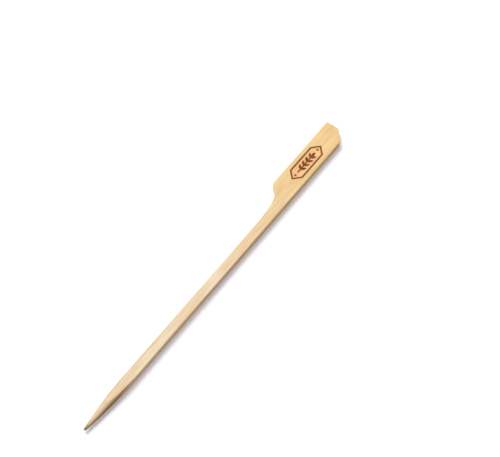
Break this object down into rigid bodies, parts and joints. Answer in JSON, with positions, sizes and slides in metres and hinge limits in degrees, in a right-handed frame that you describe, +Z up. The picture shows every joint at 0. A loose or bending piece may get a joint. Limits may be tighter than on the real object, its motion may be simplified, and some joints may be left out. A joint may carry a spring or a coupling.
{
  "type": "bamboo skewer",
  "caption": "Flat bamboo skewer with a flag-shaped handle, a slanted notch below it and a ground point at the far end.",
  "frame": {"origin": "middle of the underside of the overall box, halfway between the point and the handle's end", "axes": "+X from the point to the handle along the straight edge, +Y towards the side that the flag stands out on, +Z up out of the marked face"},
  "size_m": [0.18, 0.011, 0.003],
  "materials": {
    "bamboo": "planed bare bamboo with a fine straight grain and a small burnt mark on the handle"
  },
  "bodies": {
    "root": {"skewer": "bamboo"}
  },
  "joints": []
}
